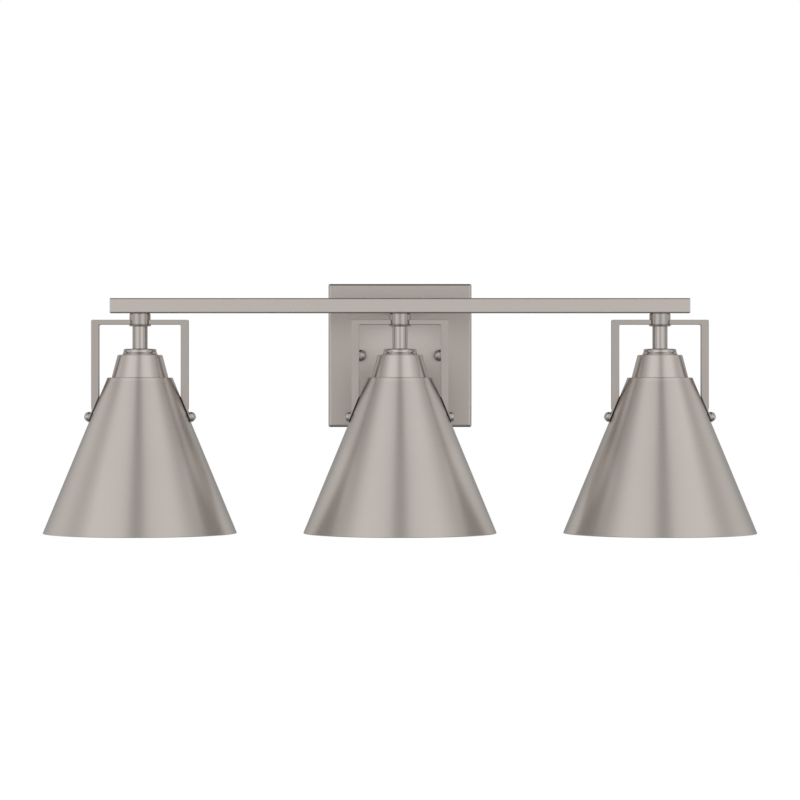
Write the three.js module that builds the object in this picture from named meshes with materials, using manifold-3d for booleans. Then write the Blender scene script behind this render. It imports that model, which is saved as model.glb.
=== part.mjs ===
// Three-light vanity bar, wall mounted. Millimetres, +Z up, wall plane at y = 0, room towards -Y.
// Origin: centre of the square backplate on the wall plane.
import * as THREE from 'three';
import { mergeVertices } from 'three/addons/utils/BufferGeometryUtils.js';
import Module from 'manifold-3d';

const wasm = await Module();
wasm.setup();

// ---------------------------------------------------------------- driving dimensions
const LAMP_PITCH = 222.25;            // centre to centre
const LAMP_Y = -112.0;                // lamp axes and bar centre line, from the wall
const GAP = 0.3;                      // clearance between touching pieces

const PLATE = { size: 127.0, depth: 22.0, wall: 1.2, corner: 1.6, ease: 0.8 };
const BAR = { length: 495.3, side: 12.7, z: 41.1, wall: 1.2, end: 1.6 };
const ARM = { side: 12.7, wall: 1.2, nipple: 4.9, bore: 3.6 };
const STUD = { spacing: 69.85, r: 2.0 };
const CAP_NUT = { r: 5.05, length: 9.0 };

const COLLAR = { r: 9.0, bore: 4.7, skirt: 7.5 };
const HARP = { outer: 41.5, inner: 35.0, top: 29.0, bottom: 24.9, depth: 8.0, fillet: 1.3, elbow: -46.2, eye: 7.2 };
const STEM = { r: 6.4, bore: 4.4, top: 24.6, lip: 9.4, bottom: 4.5 };
const CHECK = { r: 13.9, top: 4.2, bottom: -0.7 };
const CUP = { topR: 19.0, bottomR: 24.1, top: -1.0, bottom: -20.1, wall: 1.0 };
const SHADE = { topR: 27.7, rimR: 82.55, top: -20.4, rim: -153.4, wall: 1.0, hole: 17.0 };
const SOCKET = { r: 16.6, top: -3.5, bottom: -47.5, bore: 14.3, floor: -15.6 };
const BULB = { tip: -18.3, baseTop: -23.6, baseBottom: -45.0, baseR: 13.0, bottom: -127.0, globeR: 30.0 };
const SCREW = { z: -54.6, shank: 2.0, hole: 2.35, headR: 4.2, pad: 1.2 };

// ---------------------------------------------------------------- solid helpers
function clean(geometry) {
  const g = geometry.index ? geometry.toNonIndexed() : geometry.clone();
  for (const name of Object.keys(g.attributes)) if (name !== 'position') g.deleteAttribute(name);
  const merged = mergeVertices(g, 1e-4);
  const p = merged.attributes.position, src = merged.index.array, keep = [];
  for (let i = 0; i < src.length; i += 3) {
    const [a, b, c] = [src[i], src[i + 1], src[i + 2]];
    if (a !== b && b !== c && a !== c) keep.push(a, b, c);
  }
  let volume = 0;
  const A = new THREE.Vector3(), B = new THREE.Vector3(), C = new THREE.Vector3();
  for (let i = 0; i < keep.length; i += 3) {
    A.fromBufferAttribute(p, keep[i]); B.fromBufferAttribute(p, keep[i + 1]); C.fromBufferAttribute(p, keep[i + 2]);
    volume += A.dot(B.cross(C));
  }
  if (volume < 0) for (let i = 0; i < keep.length; i += 3) [keep[i + 1], keep[i + 2]] = [keep[i + 2], keep[i + 1]];
  merged.setIndex(keep);
  return merged;
}

function solid(geometry) {
  const g = clean(geometry);
  return new wasm.Manifold(new wasm.Mesh({
    numProp: 3,
    vertProperties: new Float32Array(g.attributes.position.array),
    triVerts: new Uint32Array(g.index.array),
  }));
}

function geometryOf(body) {
  const m = body.getMesh();
  const g = new THREE.BufferGeometry();
  g.setAttribute('position', new THREE.BufferAttribute(new Float32Array(m.vertProperties), 3));
  g.setIndex(Array.from(m.triVerts));
  return g;
}

// Turned piece about Z: closed [r, z] profile.
function turned(profile, segments) {
  const pts = profile.map(([r, z]) => new THREE.Vector2(r, z));
  if (profile[0][0] > 0 || profile[profile.length - 1][0] > 0) pts.push(pts[0].clone());
  return clean(new THREE.LatheGeometry(pts, segments).rotateX(Math.PI / 2));
}

const rodZ = (r, z0, z1, x = 0, y = 0, n = 16) =>
  new THREE.CylinderGeometry(r, r, z1 - z0, n).rotateX(Math.PI / 2).translate(x, y, (z0 + z1) / 2);
const rodY = (r, y0, y1, x = 0, z = 0, n = 16) =>
  new THREE.CylinderGeometry(r, r, y1 - y0, n).translate(x, (y0 + y1) / 2, z);
const block = (x0, x1, y0, y1, z0, z1) =>
  new THREE.BoxGeometry(x1 - x0, y1 - y0, z1 - z0).translate((x0 + x1) / 2, (y0 + y1) / 2, (z0 + z1) / 2);

// Square with rounded corners, centred on the origin.
function roundedSquare(half, r, n = 3) {
  const s = new THREE.Shape();
  [[1, 1, 0], [-1, 1, 1], [-1, -1, 2], [1, -1, 3]].forEach(([sx, sy, q]) => {
    for (let i = 0; i <= n; i++) {
      const a = (q + i / n) * Math.PI / 2;
      const x = sx * (half - r) + r * Math.cos(a), y = sy * (half - r) + r * Math.sin(a);
      if (q === 0 && i === 0) s.moveTo(x, y); else s.lineTo(x, y);
    }
  });
  s.closePath();
  return s;
}

// A prism drawn in the XZ plane and extruded along Y from y0 to y1.
const prismY = (shape, y0, y1) =>
  new THREE.ExtrudeGeometry(shape, { depth: y1 - y0, bevelEnabled: false }).rotateX(Math.PI / 2).translate(0, y1, 0);

// Tube or wire along a smooth curve.
function wire(points, r, sides, steps) {
  const section = new THREE.Shape();
  for (let i = 0; i < sides; i++) {
    const a = 2 * Math.PI * i / sides;
    if (i) section.lineTo(r * Math.cos(a), r * Math.sin(a)); else section.moveTo(r * Math.cos(a), r * Math.sin(a));
  }
  section.closePath();
  const path = new THREE.CatmullRomCurve3(points.map(p => new THREE.Vector3(...p)));
  return new THREE.ExtrudeGeometry(section, { steps, bevelEnabled: false, extrudePath: path });
}

// ---------------------------------------------------------------- finishes
const finish = (color, roughness, metalness, opacity = 1) =>
  new THREE.MeshStandardMaterial({ color, roughness, metalness, opacity, transparent: opacity < 1 });
const NICKEL = () => finish(0xb6b1aa, 0.38, 1.0);
const ZINC = () => finish(0xa8abad, 0.45, 1.0);
const BRASS = () => finish(0xb9985a, 0.35, 1.0);
const ALUMINIUM = () => finish(0xc2c3c4, 0.35, 1.0);
const PHENOLIC = () => finish(0x1d1c1b, 0.55, 0.0);
const PORCELAIN = () => finish(0xe9e6df, 0.25, 0.0);
const FROSTED = () => finish(0xf4f1ea, 0.3, 0.0, 0.9);
const INSULATOR = () => finish(0x15130f, 0.2, 0.0);
const WIRE = () => finish(0x2a2927, 0.6, 0.0);
const ORANGE = () => finish(0xd0722a, 0.5, 0.0);
const GREEN = () => finish(0x2f7a3c, 0.4, 0.3);
const COPPER = () => finish(0xb0693f, 0.4, 1.0);

const group = new THREE.Group();
function add(parent, name, geometry, material, at = null) {
  const mesh = new THREE.Mesh(geometry, material);
  mesh.name = name;
  if (at) mesh.position.set(...at);
  parent.add(mesh);
  return mesh;
}

// ---------------------------------------------------------------- backplate: pressed square pan, open at the wall
const half = PLATE.size / 2;
{
  const skin = solid(new THREE.ExtrudeGeometry(roundedSquare(half - PLATE.ease, PLATE.corner - PLATE.ease), {
    depth: PLATE.depth - PLATE.ease, steps: 1, bevelEnabled: true, bevelThickness: PLATE.ease, bevelSize: PLATE.ease, bevelSegments: 1,
  }).rotateX(Math.PI / 2));
  // the bevel at the wall side is trimmed off so that the rim is flat and full width
  const shell = skin.intersect(solid(block(-half - 5, half + 5, -PLATE.depth, 0, -half - 5, half + 5)));
  const hollow = solid(prismY(roundedSquare(half - PLATE.wall, PLATE.corner - PLATE.wall), -(PLATE.depth - PLATE.wall), 5));
  let plate = shell.subtract(hollow);
  for (const s of [-1, 1]) plate = plate.subtract(solid(rodY(2.6, -30, 5, s * STUD.spacing / 2, 0, 12)));
  plate = plate.subtract(solid(rodY(5.3, -30, 5, 0, BAR.z, 16)));
  add(group, 'backplate', geometryOf(plate), NICKEL());
}

// ---------------------------------------------------------------- wall strap with slots, tapped stud holes and earth screw
const STRAP = { half: 53.0, height: 10.0, t: 2.0 };
{
  let strap = solid(block(-STRAP.half, STRAP.half, -STRAP.t, 0, -STRAP.height, STRAP.height));
  const slot = (x) => {
    const s = new THREE.Shape();
    s.absarc(x - 3.6, 0, 2.3, Math.PI / 2, Math.PI * 1.5, false);
    s.absarc(x + 3.6, 0, 2.3, -Math.PI / 2, Math.PI / 2, false);
    s.closePath();
    return solid(new THREE.ExtrudeGeometry(s, { depth: 8, bevelEnabled: false, curveSegments: 3 }).rotateX(Math.PI / 2).translate(0, 3, 0));
  };
  for (const s of [-1, 1]) {
    strap = strap.subtract(slot(s * 44.45));
    strap = strap.subtract(solid(rodY(STUD.r + GAP, -8, 5, s * STUD.spacing / 2, 0, 12)));
  }
  strap = strap.subtract(solid(rodY(6.5, -8, 5, 0, 0, 16)));
  strap = strap.subtract(solid(rodY(2.2, -8, 5, -20, 0, 12)));
  add(group, 'wall_strap', geometryOf(strap), ZINC());
}

// ---------------------------------------------------------------- studs and the cap nuts that hold the backplate on
for (const [name, s] of [['left', -1], ['right', 1]]) {
  const x = s * STUD.spacing / 2;
  add(group, `stud_${name}`, clean(rodY(STUD.r, -28.5, -0.3, x, 0, 8)), ZINC());
  const f = -(PLATE.depth + GAP), L = CAP_NUT.length, r = CAP_NUT.r;
  const nut = turned([[2.35, 0], [r, 0], [r, 5.6], [r - 0.5, 7.2], [r - 1.8, 8.5], [r - 3.6, L], [0, L], [0, 6.8], [2.35, 6.8]], 12);
  add(group, `cap_nut_${name}`, nut.rotateX(Math.PI / 2), NICKEL(), [x, f, 0]);
}

// ---------------------------------------------------------------- support arm: square tube with a threaded nipple through the plate
const barBack = LAMP_Y + BAR.side / 2, barBottom = BAR.z - BAR.side / 2, barTop = BAR.z + BAR.side / 2;
{
  const h = ARM.side / 2, i = h - ARM.wall, y1 = -(PLATE.depth + GAP), y0 = barBack + GAP;
  const outer = solid(block(-h, h, y0, y1, BAR.z - h, BAR.z + h)).add(solid(rodY(ARM.nipple, y1 - 1, -13, 0, BAR.z, 16)));
  const inner = solid(block(-i, i, y0 - 5, y1 - 2, BAR.z - i, BAR.z + i)).add(solid(rodY(ARM.bore, y0, 0, 0, BAR.z, 16)));
  add(group, 'support_arm', geometryOf(outer.subtract(inner)), NICKEL());
  const hex = solid(rodY(8.4, -(PLATE.depth - PLATE.wall) + GAP, -17.3, 0, BAR.z, 6)).subtract(solid(rodY(ARM.nipple + GAP + 0.1, -30, 0, 0, BAR.z, 16)));
  add(group, 'arm_lock_nut', geometryOf(hex), ZINC());
}

// ---------------------------------------------------------------- light bar: square tube with closed ends
const lampX = { left: -LAMP_PITCH, center: 0, right: LAMP_PITCH };
{
  const h = BAR.side / 2, i = h - BAR.wall, L = BAR.length / 2;
  let bar = solid(block(-L, L, LAMP_Y - h, LAMP_Y + h, barBottom, barTop));
  bar = bar.subtract(solid(block(-L + BAR.end, L - BAR.end, LAMP_Y - i, LAMP_Y + i, BAR.z - i, BAR.z + i)));
  for (const x of Object.values(lampX)) bar = bar.subtract(solid(rodZ(4.6, barBottom - 5, BAR.z, x, LAMP_Y, 16)));
  bar = bar.subtract(solid(rodY(4.6, LAMP_Y, barBack + 5, 0, BAR.z, 16)));
  add(group, 'light_bar', geometryOf(bar), NICKEL());
}

// ---------------------------------------------------------------- wiring inside the bar, arm and backplate
{
  let loom = solid(new THREE.CylinderGeometry(2.2, 2.2, 2 * LAMP_PITCH, 6).rotateZ(Math.PI / 2).translate(0, LAMP_Y, BAR.z));
  for (const x of Object.values(lampX)) loom = loom.add(solid(rodZ(2.0, SOCKET.top + GAP, BAR.z, x, LAMP_Y, 6)));
  loom = loom.add(solid(rodY(2.6, LAMP_Y, -9.6, 0, BAR.z, 8)));
  for (const s of [-1, 1]) {
    loom = loom.add(solid(wire([[0, -11.2, BAR.z], [s * 6, -11.2, BAR.z + 1.2], [s * 12, -11.2, BAR.z - 1.2], [s * 14, -11.2, 33.0]], 1.5, 6, 6)));
  }
  add(group, 'wiring_loom', geometryOf(loom), WIRE());
  for (const [name, s] of [['hot', -1], ['neutral', 1]]) {
    const shell = turned([[0, 14.0], [3.4, 14.0], [4.2, 16.0], [5.2, 31.0], [4.6, 32.4], [2.0, 32.4], [2.0, 26.0], [0, 26.0]], 10);
    add(group, `wire_connector_${name}`, shell, ORANGE(), [s * 14, -11.2, 0]);
  }
  const green = turned([[0, 0.3], [1.9, 0.3], [1.9, 2.3], [4.0, 2.3], [4.0, 4.6], [3.2, 5.2], [0, 5.2]], 8);
  add(group, 'ground_screw', green.rotateX(Math.PI / 2), GREEN(), [-20, 0, 0]);
  const lead = wire([[-20, -6.8, -4.4], [-20, -6.9, 1.0], [-21.5, -8.5, 9.0], [-21, -13.5, 20], [-16, -17.6, 32], [-10.6, -18.9, 38.5]], 0.9, 5, 10);
  add(group, 'ground_lead', clean(lead), COPPER());
}

// ---------------------------------------------------------------- one lamp, hung from the bar at x
// Cone surface frame: s runs down the cone from its top edge, o stands off it along the outward normal.
const rise = SHADE.rim - SHADE.top, run = SHADE.rimR - SHADE.topR, slant = Math.hypot(rise, run);
const ts = run / slant, tc = -rise / slant;
const onCone = (s, o) => [SHADE.topR + ts * s + tc * o, SHADE.top - tc * s + ts * o];
const screwS = (SHADE.top - SCREW.z) / tc;

// Matrix that takes local +Z to the cone's outward normal at the screw, on the side given by sign.
function screwFrame(sign) {
  const n = new THREE.Vector3(sign * tc, 0, ts);
  const [x, z] = onCone(screwS, 0);
  const m = new THREE.Matrix4().makeBasis(new THREE.Vector3().crossVectors(new THREE.Vector3(0, 1, 0), n), new THREE.Vector3(0, 1, 0), n);
  return m.setPosition(sign * x, 0, z);
}

function harpGeometry() {
  let body = null;
  for (const sign of [-1, 1]) {
    const s = new THREE.Shape();
    const pad = GAP + SCREW.pad;
    const join = (SHADE.top + ts * pad + 48.8) / tc;
    const sMeet = (HARP.inner - SHADE.topR - tc * GAP) / ts;
    const pts = [[6.5, HARP.top], [HARP.outer, HARP.top], [HARP.outer, HARP.elbow], onCone(join, pad), onCone(join + 3, pad), onCone(join + 3, GAP), onCone(sMeet, GAP)];
    for (let i = 0; i <= 3; i++) {
      const a = i / 3 * Math.PI / 2;
      pts.push([HARP.inner - HARP.fillet + HARP.fillet * Math.cos(a), HARP.bottom - HARP.fillet + HARP.fillet * Math.sin(a)]);
    }
    pts.push([6.5, HARP.bottom]);
    pts.forEach(([x, z], i) => i ? s.lineTo(sign * x, z) : s.moveTo(sign * x, z));
    s.closePath();
    const frame = solid(new THREE.ExtrudeGeometry(s, { depth: HARP.depth, bevelEnabled: false }).rotateX(Math.PI / 2).translate(0, HARP.depth / 2, 0));
    body = body ? body.add(frame) : frame;
    // foot pad lying along the cone, round at its lower end
    const pad2 = new THREE.Shape();
    const w = 4.5, up = -9.0;
    pad2.moveTo(up, -w + 2.6); pad2.lineTo(-3.5, -w);
    for (let i = 0; i <= 5; i++) { const a = -Math.PI / 2 + i / 5 * Math.PI; pad2.lineTo(w * Math.cos(a), w * Math.sin(a)); }
    pad2.lineTo(-3.5, w); pad2.lineTo(up, w - 2.6); pad2.closePath();
    const g = new THREE.ExtrudeGeometry(pad2, { depth: SCREW.pad, bevelEnabled: false }).translate(0, 0, GAP);
    // local x of the screw frame runs down the cone on the right lamp side and up it on the left
    if (sign < 0) g.rotateZ(Math.PI);
    body = body.add(solid(g.applyMatrix4(screwFrame(sign))));
    body = body.subtract(solid(rodZ(SCREW.hole, -5, 8, 0, 0, 8).applyMatrix4(screwFrame(sign))));
  }
  const eye = solid(rodZ(HARP.eye, HARP.bottom, HARP.top, 0, 0, 16));
  return geometryOf(body.add(eye).subtract(solid(rodZ(COLLAR.bore, 0, 60, 0, 0, 16))));
}

// Sleeve under the bar: closed above, its skirt reaches round the harp's eye and is slotted for the crossbar.
function collarGeometry() {
  const sleeve = solid(turned([
    [COLLAR.bore, HARP.top + GAP], [COLLAR.skirt, HARP.top + GAP], [COLLAR.skirt, HARP.bottom], [COLLAR.r, HARP.bottom],
    [COLLAR.r, 33.4], [COLLAR.r - 0.6, barBottom - GAP], [COLLAR.bore, barBottom - GAP],
  ], 24));
  const side = HARP.depth / 2 + GAP;
  return geometryOf(sleeve.subtract(solid(block(-12, 12, -side, side, HARP.bottom - 3, HARP.top + GAP))));
}

function shadeGeometry() {
  const w = SHADE.wall, inner = (s) => onCone(s, -w);
  const tip = onCone(0, 0);
  let shade = solid(turned([
    [SHADE.hole, SHADE.top], [tip[0] - 0.5, SHADE.top], [tip[0] + 0.15, SHADE.top - 0.5],
    [SHADE.rimR, SHADE.rim], [SHADE.rimR - w / tc, SHADE.rim],
    [SHADE.topR + ts * 1.0 - w / tc + 0.1, SHADE.top - w - 0.2], [SHADE.hole, SHADE.top - w - 0.2],
  ], 32));
  for (const sign of [-1, 1]) {
    const m = screwFrame(sign);
    shade = shade.add(solid(rodZ(4.0, -3.6, -0.5, 0, 0, 6).applyMatrix4(m)));
    shade = shade.subtract(solid(rodZ(SCREW.hole, -8, 6, 0, 0, 8).applyMatrix4(m)));
  }
  return geometryOf(shade);
}

const collar = collarGeometry(), harp = harpGeometry(), shade = shadeGeometry();

for (const [side, x] of Object.entries(lampX)) {
  const lamp = new THREE.Group();
  lamp.position.set(x, LAMP_Y, 0);
  group.add(lamp);

  add(lamp, `collar_${side}`, collar.clone(), NICKEL());
  add(lamp, `harp_${side}`, harp.clone(), NICKEL());
  add(lamp, `stem_${side}`, turned([[STEM.bore, STEM.top], [STEM.lip, STEM.top], [STEM.lip, STEM.top - 0.7], [STEM.lip - 0.7, STEM.top - 1.2], [STEM.r, STEM.top - 1.2], [STEM.r, STEM.bottom], [STEM.bore, STEM.bottom]], 16), NICKEL());
  add(lamp, `check_ring_${side}`, turned([[COLLAR.bore, CHECK.top], [CHECK.r - 1.2, CHECK.top], [CHECK.r, 3.1], [CHECK.r, 0.6], [CHECK.r + 1.5, CHECK.bottom], [COLLAR.bore, CHECK.bottom]], 20), NICKEL());
  add(lamp, `socket_cup_${side}`, turned([[4.8, CUP.top], [CUP.topR - 0.6, CUP.top], [CUP.topR + 0.15, CUP.top - 0.6], [CUP.bottomR, CUP.bottom], [CUP.bottomR - CUP.wall, CUP.bottom], [CUP.topR - CUP.wall + 0.3, CUP.top - 1.2], [4.8, CUP.top - 1.2]], 20), NICKEL());
  add(lamp, `shade_${side}`, shade.clone(), NICKEL());
  add(lamp, `socket_body_${side}`, turned([[0, SOCKET.top], [14.6, SOCKET.top], [SOCKET.r, -5.5], [SOCKET.r, SOCKET.bottom], [SOCKET.bore, SOCKET.bottom], [SOCKET.bore, SOCKET.floor], [0, SOCKET.floor]], 16), PORCELAIN());
  add(lamp, `socket_shell_${side}`, turned([[13.6, -46.5], [14.0, -46.5], [14.0, -15.9], [9.5, -15.9], [9.5, -16.5], [13.6, -16.5]], 16), BRASS());
  add(lamp, `socket_contact_${side}`, turned([[0, -15.9], [4.5, -15.9], [4.5, -16.6], [2.6, -18.0], [0, -18.0]], 8), BRASS());
  add(lamp, `shade_ring_${side}`, turned([[17.0, -22.0], [22.0, -22.0], [22.0, -28.2], [17.0, -28.2]], 16), PHENOLIC());

  add(lamp, `bulb_tip_${side}`, turned([[0, BULB.tip], [3.6, BULB.tip - 0.4], [5.0, -20.0], [9.0, -23.2], [9.0, -24.0], [0, -24.0]], 12), INSULATOR());
  add(lamp, `bulb_base_${side}`, turned([[9.4, BULB.baseTop], [11.4, BULB.baseTop], [BULB.baseR, -25.4], [BULB.baseR, BULB.baseBottom], [12.4, BULB.baseBottom], [12.4, -25.9], [11.2, -24.3], [9.4, -24.3]], 16), ALUMINIUM());
  const outer = [[12.5, -45.3], [13.0, -51], [18.0, -65.5], [26.4, -78.5], [BULB.globeR, -94], [27.4, -108.5], [18.2, -121.2], [0, BULB.bottom]];
  const innerWall = [[0, BULB.bottom + 1.0], [17.5, -120.4], [26.4, -108.1], [29.0, -94], [25.5, -79.1], [17.0, -66.0], [11.6, -45.3]];
  add(lamp, `bulb_glass_${side}`, turned([...outer, ...innerWall], 16), FROSTED());

  for (const [n, sign] of [[1, -1], [2, 1]]) {
    const screw = turned([[0, -6.0], [SCREW.shank, -6.0], [SCREW.shank, 1.8], [SCREW.headR, 1.8], [SCREW.headR, 2.9], [3.4, 4.8], [1.8, 5.8], [0, 6.0]], 10);
    const mesh = add(lamp, `harp_screw_${side}_${n}`, screw, NICKEL());
    screwFrame(sign).decompose(mesh.position, mesh.quaternion, mesh.scale);
  }
}

export default group;
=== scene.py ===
import math
import bpy
import bmesh
from mathutils import Matrix, Vector
from mathutils.geometry import tessellate_polygon


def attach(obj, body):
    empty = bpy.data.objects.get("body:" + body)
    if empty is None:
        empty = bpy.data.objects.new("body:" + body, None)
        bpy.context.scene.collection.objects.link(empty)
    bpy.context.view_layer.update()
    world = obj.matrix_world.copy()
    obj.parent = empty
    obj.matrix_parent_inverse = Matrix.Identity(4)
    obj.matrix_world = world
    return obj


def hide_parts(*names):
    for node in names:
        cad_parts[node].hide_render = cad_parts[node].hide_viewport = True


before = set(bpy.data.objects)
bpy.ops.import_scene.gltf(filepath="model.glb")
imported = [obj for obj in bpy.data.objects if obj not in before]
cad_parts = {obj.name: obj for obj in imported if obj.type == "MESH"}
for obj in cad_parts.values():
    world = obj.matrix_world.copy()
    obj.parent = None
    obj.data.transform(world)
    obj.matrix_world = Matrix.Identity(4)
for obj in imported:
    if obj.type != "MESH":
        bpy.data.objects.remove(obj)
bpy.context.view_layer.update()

MM = 0.001
LAMPS = {"left": -222.25, "center": 0.0, "right": 222.25}
LAMP_Y = -112.0
BAR_Z = 41.1


# ------------------------------------------------------------------ mesh helpers (all in millimetres, row frame)
def put(name, verts, faces, origin=(0, 0, 0), sharp=32.0):
    """A mesh object whose origin is at `origin` (mm) and whose vertices are given in the row frame."""
    o = Vector(origin) * MM
    me = bpy.data.meshes.new(name)
    me.from_pydata([Vector(v) * MM - o for v in verts], [], faces)
    bm = bmesh.new()
    bm.from_mesh(me)
    bmesh.ops.remove_doubles(bm, verts=bm.verts, dist=1e-7)
    bmesh.ops.recalc_face_normals(bm, faces=bm.faces)
    bm.to_mesh(me)
    bm.free()
    me.shade_smooth()
    me.set_sharp_from_angle(angle=math.radians(sharp))
    ob = bpy.data.objects.new(name, me)
    ob.location = o
    bpy.context.scene.collection.objects.link(ob)
    return ob


def rounded(points, closed=True, n=5):
    """Polyline [(x, y, radius)] with each corner turned into an arc of that radius."""
    out, m = [], len(points)
    for i, (x, y, r) in enumerate(points):
        if r <= 0 or (not closed and i in (0, m - 1)):
            out.append((x, y))
            continue
        p = Vector((x, y))
        a = Vector(points[i - 1][:2]) - p
        b = Vector(points[(i + 1) % m][:2]) - p
        la, lb = a.length, b.length
        a, b = a / la, b / lb
        cos = max(-1.0, min(1.0, a.dot(b)))
        ang = math.acos(cos)
        if abs(math.pi - ang) < 1e-3:
            out.append((x, y))
            continue
        d = min(r / math.tan(ang / 2), la * 0.48, lb * 0.48)
        rr = d * math.tan(ang / 2)
        c = p + (a + b).normalized() * (rr / math.sin(ang / 2))
        s, e = p + a * d - c, p + b * d - c
        a0, a1 = math.atan2(s.y, s.x), math.atan2(e.y, e.x)
        da = (a1 - a0 + math.pi) % (2 * math.pi) - math.pi
        for k in range(n + 1):
            t = a0 + da * k / n
            out.append((c.x + rr * math.cos(t), c.y + rr * math.sin(t)))
    return out


def lathe(name, profile, at=(0.0, 0.0), segs=96, frame_m=None, sharp=32.0, closed=None):
    """Turns [(r, z)] about the Z axis through `at`, or about frame_m's Z axis. A profile that touches the axis at both ends is open."""
    if closed is None:
        closed = not (profile[0][0] < 1e-9 and profile[-1][0] < 1e-9)
    verts, rings = [], []
    for r, z in profile:
        if r < 1e-9:
            rings.append([len(verts)])
            verts.append((0, 0, z))
        else:
            rings.append(list(range(len(verts), len(verts) + segs)))
            verts += [(r * math.cos(2 * math.pi * k / segs), r * math.sin(2 * math.pi * k / segs), z) for k in range(segs)]
    faces = []
    pairs = list(zip(rings, rings[1:])) + ([(rings[-1], rings[0])] if closed else [])
    for a, b in pairs:
        for k in range(segs):
            j = (k + 1) % segs
            if len(a) == 1 and len(b) == 1:
                continue
            if len(a) == 1:
                faces.append((a[0], b[j], b[k]))
            elif len(b) == 1:
                faces.append((a[k], a[j], b[0]))
            else:
                faces.append((a[k], a[j], b[j], b[k]))
    if frame_m is None:
        verts = [(x + at[0], y + at[1], z) for x, y, z in verts]
        return face_weighted(put(name, verts, faces, (at[0], at[1], 0), sharp))
    verts = [frame_m @ Vector(v) for v in verts]
    return face_weighted(put(name, verts, faces, frame_m.to_translation(), sharp))


def threaded(name, r_root, r_crest, z0, z1, pitch, at=(0.0, 0.0), frame_m=None, segs=32, per=8, hand=1.0, ends=0.6, flat=False):
    """A rod with a real helical thread: radius follows the helix, with plain chamfered ends."""
    steps = max(8, int(round((z1 - z0) / pitch * per)))
    verts, faces = [(0, 0, z0)], []
    for i in range(steps + 1):
        z = z0 + (z1 - z0) * i / steps
        fade = min(1.0, (z - z0) / ends, (z1 - z) / ends) if ends else 1.0
        for k in range(segs):
            a = 2 * math.pi * k / segs
            w = 0.5 + 0.5 * math.cos(2 * math.pi * z / pitch - hand * a)
            if flat:
                w = w * w * (3 - 2 * w)
            r = r_root + (r_crest - r_root) * w * max(0.0, fade)
            verts.append((r * math.cos(a), r * math.sin(a), z))
    verts.append((0, 0, z1))
    last = len(verts) - 1
    for k in range(segs):
        j = (k + 1) % segs
        faces.append((0, 1 + j, 1 + k))
        faces.append((last, last - segs + k, last - segs + j))
        for i in range(steps):
            a, b = 1 + i * segs, 1 + (i + 1) * segs
            faces.append((a + k, a + j, b + j, b + k))
    if frame_m is None:
        verts = [(x + at[0], y + at[1], z) for x, y, z in verts]
        return put(name, verts, faces, (at[0], at[1], 0), 60.0)
    return put(name, [frame_m @ Vector(v) for v in verts], faces, frame_m.to_translation(), 60.0)


def inset(points, d):
    """Moves each vertex of a closed outline inwards (a counter-clockwise outline) by d, mitred."""
    n = len(points)
    area = sum(points[i][0] * points[(i + 1) % n][1] - points[(i + 1) % n][0] * points[i][1] for i in range(n))
    s = 1.0 if area > 0 else -1.0
    out = []
    for i in range(n):
        p, a, b = Vector(points[i]), Vector(points[i - 1]), Vector(points[(i + 1) % n])
        u, v = (p - a).normalized(), (b - p).normalized()
        nu, nv = Vector((-u.y, u.x)) * s, Vector((-v.y, v.x)) * s
        m = nu + nv
        m = m.normalized() if m.length > 1e-6 else nu
        out.append(tuple(p + m * (d / max(0.35, m.dot(nu)))))
    return out


def clean(points, tol=0.012):
    out = []
    for p in points:
        if not out or (Vector(p) - Vector(out[-1])).length > tol:
            out.append(tuple(p))
    while len(out) > 3 and (Vector(out[0]) - Vector(out[-1])).length <= tol:
        out.pop()
    return out


def face_weighted(ob):
    """Keeps the flats flat where small rounded edges meet them."""
    mod = ob.modifiers.new("face_weighted", "WEIGHTED_NORMAL")
    mod.mode = "FACE_AREA"
    mod.weight = 50
    mod.keep_sharp = True
    return ob


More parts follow.
